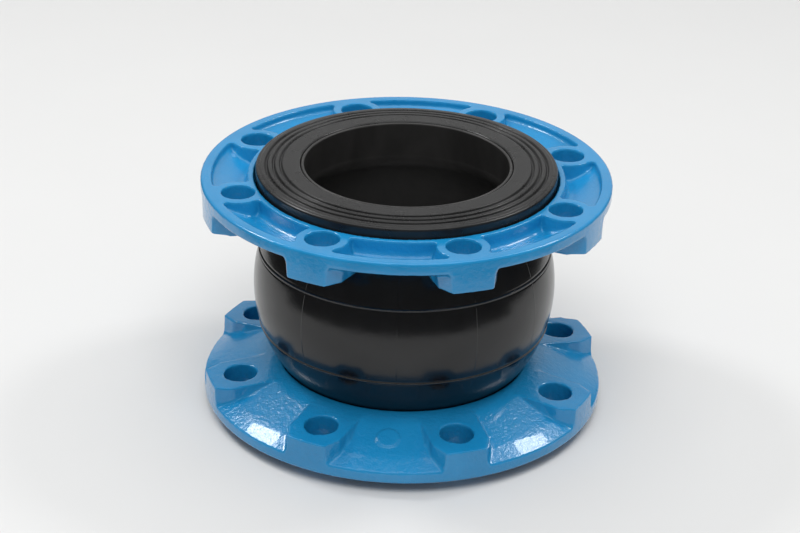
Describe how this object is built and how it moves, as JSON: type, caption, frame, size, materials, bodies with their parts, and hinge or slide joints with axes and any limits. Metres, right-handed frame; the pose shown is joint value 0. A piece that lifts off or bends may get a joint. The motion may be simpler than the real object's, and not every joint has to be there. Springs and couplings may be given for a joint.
{
  "type": "rubber expansion joint",
  "caption": "Single-sphere rubber pipe expansion joint with swivelling round flanges, ribbed sealing faces and cored bolt bosses.",
  "frame": {"origin": "centre of the lower sealing face, at the bottom of the joint", "axes": "+Z along the pipe from the lower flange to the upper flange; X and Y pass midway between bolt holes"},
  "size_m": [0.285, 0.285, 0.18],
  "materials": {
    "blue_enamel": "glossy blue enamel over a rough iron casting, thick and soft at the edges",
    "cover_rubber": "satin black moulded synthetic rubber with mould lines and a little dust",
    "tube_rubber": "smooth matt black rubber liner",
    "tyre_cord": "brown dipped nylon cord fabric skimmed with rubber",
    "bead_wire": "bronze-coated hard steel wire"
  },
  "bodies": {
    "lower_end": {"lower_sealing_face": "cover_rubber", "lower_bead_filler": "cover_rubber", "lower_bead_wire": "bead_wire"},
    "lower_flange": {"lower_flange": "blue_enamel"},
    "lower_neck": {"inner_tube": "tube_rubber"},
    "lower_shoulder": {"cord_ply_1": "tyre_cord", "cord_ply_2": "tyre_cord"},
    "upper_shoulder": {"cord_ply_3": "tyre_cord", "cord_ply_4": "tyre_cord"},
    "upper_neck": {"outer_cover": "cover_rubber"},
    "upper_end": {"upper_sealing_face": "cover_rubber", "upper_bead_filler": "cover_rubber", "upper_bead_wire": "bead_wire"},
    "upper_flange": {"upper_flange": "blue_enamel"}
  },
  "joints": [
    {"name": "lower_flange_swivel", "type": "hinge", "parent": "lower_end", "child": "lower_flange", "pos_m": [0, 0, 0.02], "axis": [0, 0, 1], "continuous": true},
    {"name": "side_shift", "type": "slide", "parent": "lower_end", "child": "lower_neck", "axis": [1, 0, 0], "range_m": [-0.007, 0.007], "stiffness_N_per_m": 480000},
    {"name": "stretch", "type": "slide", "parent": "lower_neck", "child": "lower_shoulder", "axis": [0, 0, 1], "range_m": [-0.009, 0.006], "stiffness_N_per_m": 360000},
    {"name": "tilt", "type": "hinge", "parent": "lower_shoulder", "child": "upper_shoulder", "pos_m": [0, 0, 0.09], "axis": [0, 1, 0], "range_deg": [-7.5, 7.5], "stiffness_Nm_per_rad": 340, "deforming": ["inner_tube", "cord_ply_1", "cord_ply_2", "cord_ply_3", "cord_ply_4", "outer_cover"]},
    {"name": "stretch_upper", "type": "slide", "parent": "upper_shoulder", "child": "upper_neck", "axis": [0, 0, 1], "range_m": [-0.009, 0.006]},
    {"name": "side_shift_upper", "type": "slide", "parent": "upper_neck", "child": "upper_end", "axis": [1, 0, 0], "range_m": [-0.007, 0.007]},
    {"name": "upper_flange_swivel", "type": "hinge", "parent": "upper_end", "child": "upper_flange", "pos_m": [0, 0, 0.16], "axis": [0, 0, 1], "continuous": true}
  ],
  "couplings": [
    {"joint": "stretch_upper", "follows": "stretch", "ratio": 1},
    {"joint": "side_shift_upper", "follows": "side_shift", "ratio": 1}
  ]
}
